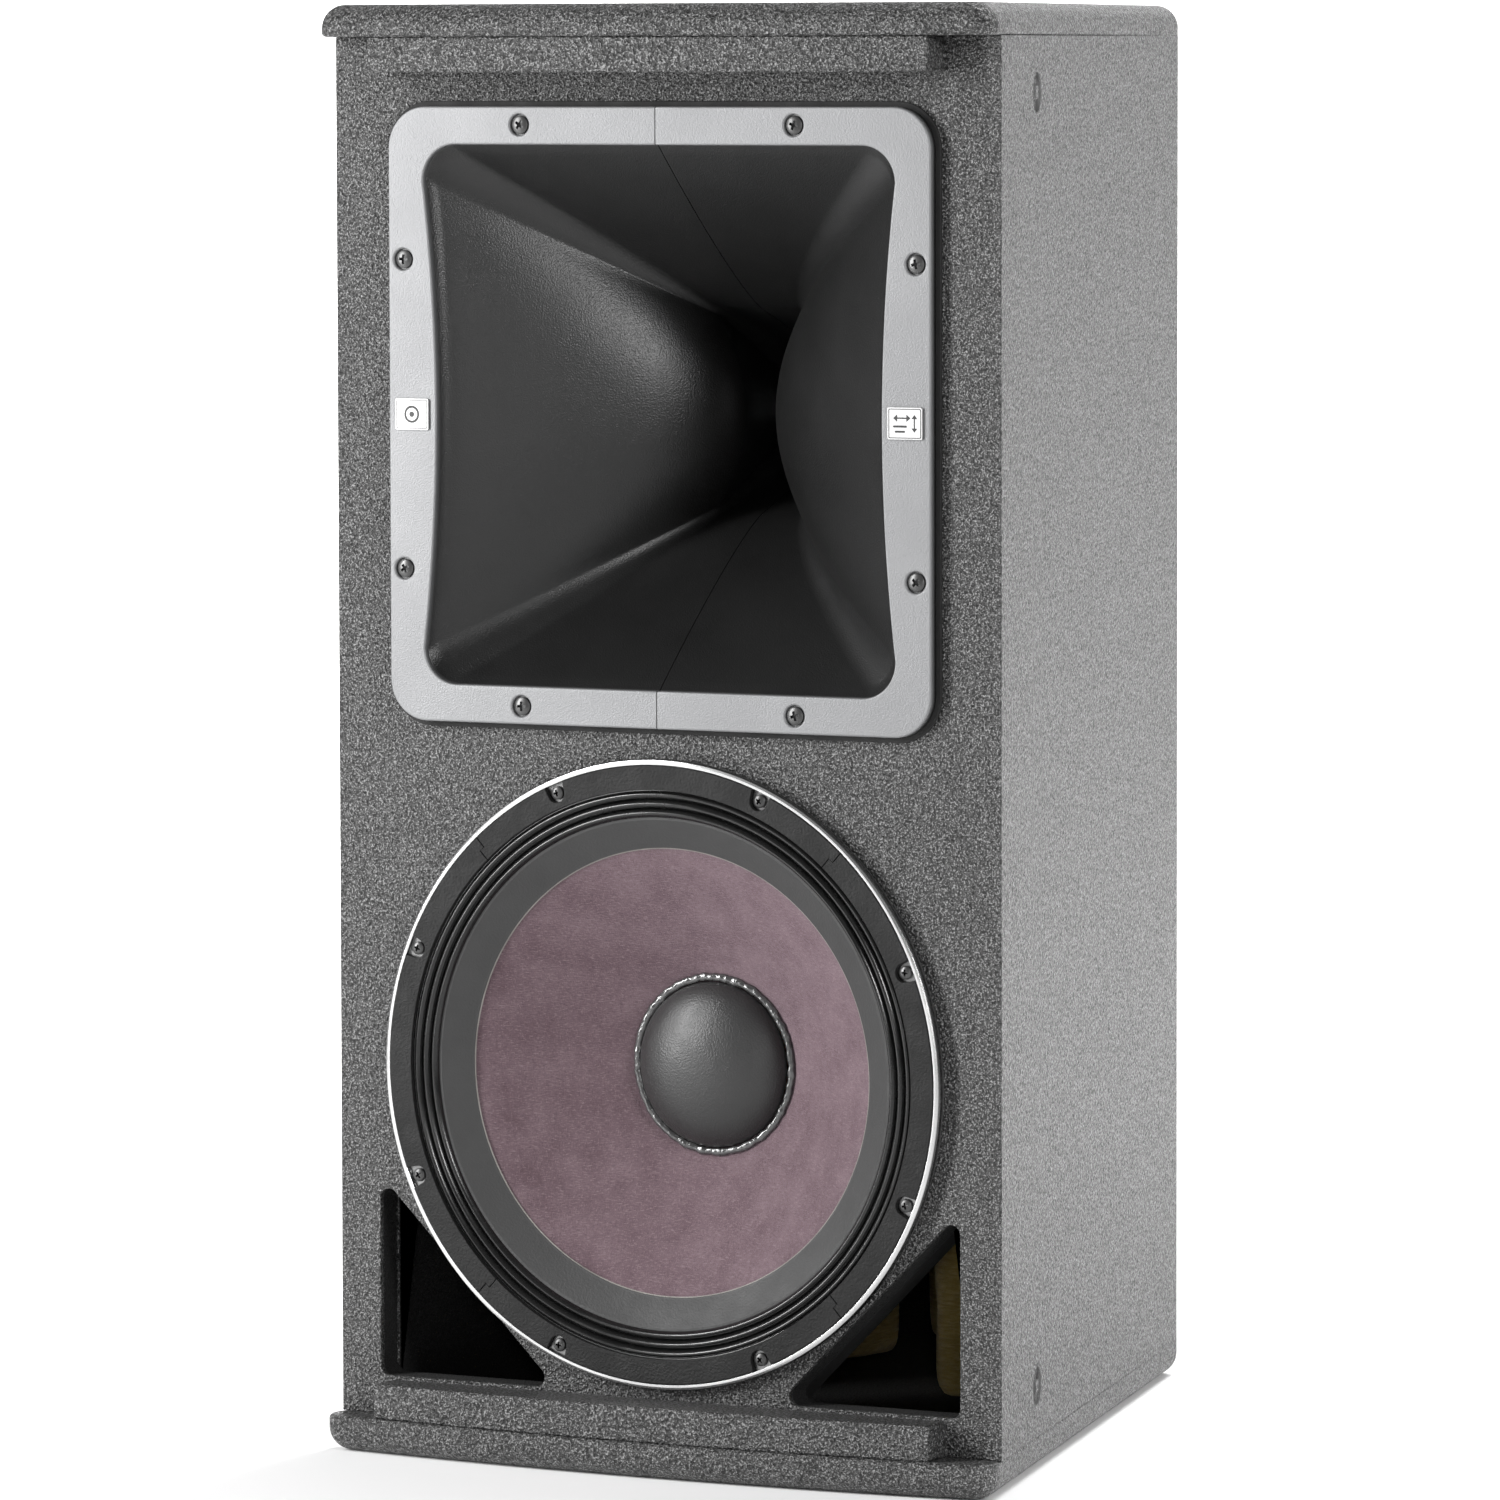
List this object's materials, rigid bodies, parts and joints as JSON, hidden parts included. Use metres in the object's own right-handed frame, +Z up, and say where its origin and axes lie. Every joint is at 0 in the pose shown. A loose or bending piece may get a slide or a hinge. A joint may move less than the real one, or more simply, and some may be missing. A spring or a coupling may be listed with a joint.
{
  "type": "pa speaker cabinet",
  "caption": "Trapezoidal two-way PA speaker cabinet with square waveguide, large woofer, triangular ports and rear inputs, grille removed.",
  "frame": {"origin": "bottom centre of the bounding box, on the surface the cabinet stands on", "axes": "+Z up, the front with the horn and woofer faces -Y, +X is the right side seen from the front"},
  "size_m": [0.3718, 0.4632, 0.718],
  "materials": {
    "cabinet_paint": "sprayed textured dark grey coating on board",
    "raw_board": "unpainted board inside the cabinet",
    "horn_plastic": "satin light grey flange, black satin inside the flare",
    "badge_metal": "brushed plate",
    "dark_plastic": "fine moulded texture",
    "steel": "satin zinc",
    "basket_metal": "dark painted casting with a bright turned rim",
    "ferrite": "dull ground ceramic",
    "gasket": "pressed board and rubber, matt black",
    "surround_cloth": "treated cloth with glossy black coating",
    "cone_paper": "pressed paper, dull mauve brown, fibrous",
    "dust_cap_cloth": "matt dark grey dome",
    "spider_cloth": "resin-treated woven cloth",
    "fibreglass": "yellow glass wool",
    "copper": "enamelled copper",
    "circuit_board": "green lacquered board"
  },
  "bodies": {
    "cabinet": {"top_panel": "cabinet_paint", "bottom_panel": "cabinet_paint", "side_panel_left": "cabinet_paint", "side_panel_right": "cabinet_paint", "front_baffle": "cabinet_paint", "back_panel": "cabinet_paint", "grille_cleat_top": "cabinet_paint", "grille_cleat_bottom": "cabinet_paint", "brace_shelf": "raw_board", "port_board_left": "raw_board", "port_board_right": "raw_board", "damping_left": "fibreglass", "damping_right": "fibreglass", "damping_back_low": "fibreglass", "damping_back_high": "fibreglass", "suspension_screw_left_bottom": "steel", "suspension_screw_left_top": "steel", "suspension_screw_right_bottom": "steel", "suspension_screw_right_top": "steel", "suspension_screw_back_bottom": "steel", "suspension_screw_back_top": "steel", "horn_left": "horn_plastic", "horn_right": "horn_plastic", "horn_badge_left": "badge_metal", "horn_badge_right": "badge_metal", "hf_front_plate": "steel", "hf_magnet": "ferrite", "hf_rear_cover": "dark_plastic", "woofer_basket": "basket_metal", "woofer_gasket": "gasket", "woofer_surround": "surround_cloth", "woofer_spider": "spider_cloth", "woofer_top_plate": "steel", "woofer_magnet": "ferrite", "woofer_back_plate": "steel", "input_plate": "dark_plastic", "speaker_socket_in": "dark_plastic", "speaker_socket_link": "dark_plastic", "terminal_strip": "dark_plastic", "crossover_board": "circuit_board", "crossover_coil_low": "copper", "crossover_coil_high": "copper", "crossover_capacitor_low": "dark_plastic", "crossover_capacitor_high": "dark_plastic"},
    "woofer_cone_assembly": {"woofer_cone": "cone_paper", "woofer_dust_cap": "dust_cap_cloth", "voice_coil_former": "copper"},
    "hf_diaphragm_assembly": {"hf_diaphragm": "copper"},
    "mode_switch": {"mode_switch_slider": "badge_metal"}
  },
  "joints": [
    {"name": "cone_travel", "type": "slide", "parent": "cabinet", "child": "woofer_cone_assembly", "axis": [0, -1, 0], "range_m": [-0.007, 0.007], "stiffness_N_per_m": 4000, "deforming": ["woofer_surround", "woofer_spider"]},
    {"name": "diaphragm_travel", "type": "slide", "parent": "cabinet", "child": "hf_diaphragm_assembly", "axis": [0, -1, 0], "range_m": [-0.0004, 0.0004], "stiffness_N_per_m": 20000},
    {"name": "mode_switch_slide", "type": "slide", "parent": "cabinet", "child": "mode_switch", "axis": [1, 0, 0], "range_m": [-0.0045, 0.0045]}
  ]
}
